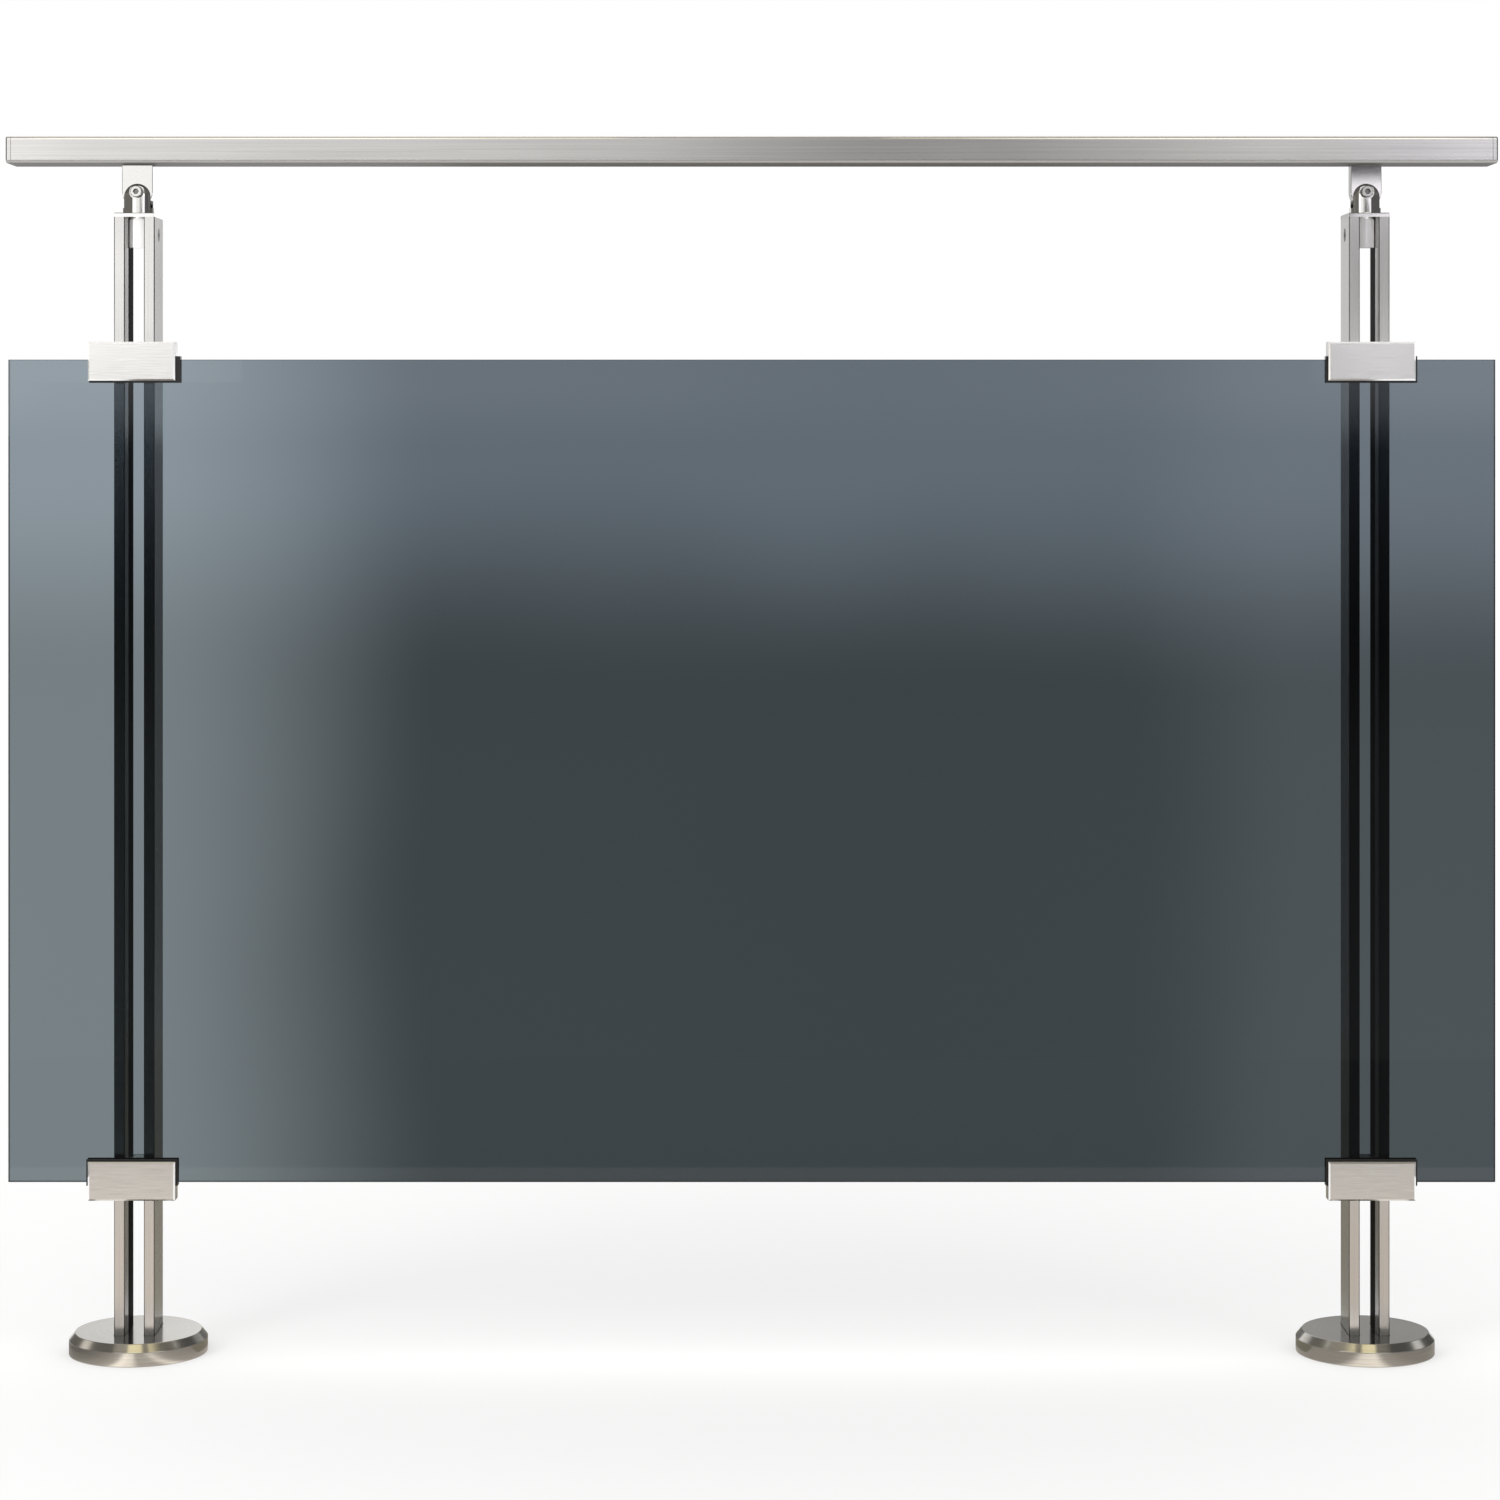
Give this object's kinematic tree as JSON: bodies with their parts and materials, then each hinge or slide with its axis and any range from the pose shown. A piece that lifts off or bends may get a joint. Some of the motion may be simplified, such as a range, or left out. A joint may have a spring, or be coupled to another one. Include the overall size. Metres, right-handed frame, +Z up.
{
  "type": "acrylic balcony railing panel",
  "caption": "Balcony railing bay: flat-bar steel posts on round bases, a flat handrail on hinged brackets and a smoked acrylic sheet in clamps.",
  "frame": {"origin": "on the floor, midway between the two posts", "axes": "+X along the handrail to the right as seen from the sheet's side, +Y away from the sheet's side, +Z up"},
  "size_m": [1.1, 0.102, 0.9],
  "materials": {
    "rail_steel": "brushed along the rail",
    "post_steel": "satin, ground lengthwise",
    "clamp_steel": "fine brushed",
    "bracket_steel": "polished",
    "cover_steel": "satin",
    "plate_steel": "mill finish",
    "screw_steel": "polished",
    "liner_rubber": "smooth",
    "smoked_acrylic": "clear, smoked grey"
  },
  "bodies": {
    "root": {"acrylic_panel": "smoked_acrylic", "handrail_tube": "rail_steel", "left_anchor_plate": "plate_steel", "left_base_cover": "cover_steel", "left_bracket_fork": "bracket_steel", "left_bracket_tongue": "bracket_steel", "left_cap_screws": "screw_steel", "left_end_cap": "rail_steel", "left_inner_bar": "post_steel", "left_outer_bar": "post_steel", "left_pivot_bolt": "screw_steel", "left_post_cap": "bracket_steel", "left_rail_nut": "screw_steel", "left_rail_stud": "screw_steel", "left_rail_washer": "screw_steel", "lower_left_clamp_back": "clamp_steel", "lower_left_clamp_fixing": "screw_steel", "lower_left_clamp_front": "clamp_steel", "lower_left_clamp_screws": "screw_steel", "lower_left_liner": "liner_rubber", "lower_left_spacer": "post_steel", "lower_left_spacer_screws": "screw_steel", "lower_right_clamp_back": "clamp_steel", "lower_right_clamp_fixing": "screw_steel", "lower_right_clamp_front": "clamp_steel", "lower_right_clamp_screws": "screw_steel", "lower_right_liner": "liner_rubber", "lower_right_spacer": "post_steel", "lower_right_spacer_screws": "screw_steel", "right_anchor_plate": "plate_steel", "right_base_cover": "cover_steel", "right_bracket_fork": "bracket_steel", "right_bracket_tongue": "bracket_steel", "right_cap_screws": "screw_steel", "right_end_cap": "rail_steel", "right_inner_bar": "post_steel", "right_outer_bar": "post_steel", "right_pivot_bolt": "screw_steel", "right_post_cap": "bracket_steel", "right_rail_nut": "screw_steel", "right_rail_stud": "screw_steel", "right_rail_washer": "screw_steel", "upper_left_clamp_back": "clamp_steel", "upper_left_clamp_fixing": "screw_steel", "upper_left_clamp_front": "clamp_steel", "upper_left_clamp_screws": "screw_steel", "upper_left_liner": "liner_rubber", "upper_left_spacer": "post_steel", "upper_left_spacer_screws": "screw_steel", "upper_right_clamp_back": "clamp_steel", "upper_right_clamp_fixing": "screw_steel", "upper_right_clamp_front": "clamp_steel", "upper_right_clamp_screws": "screw_steel", "upper_right_liner": "liner_rubber", "upper_right_spacer": "post_steel", "upper_right_spacer_screws": "screw_steel"}
  },
  "joints": []
}
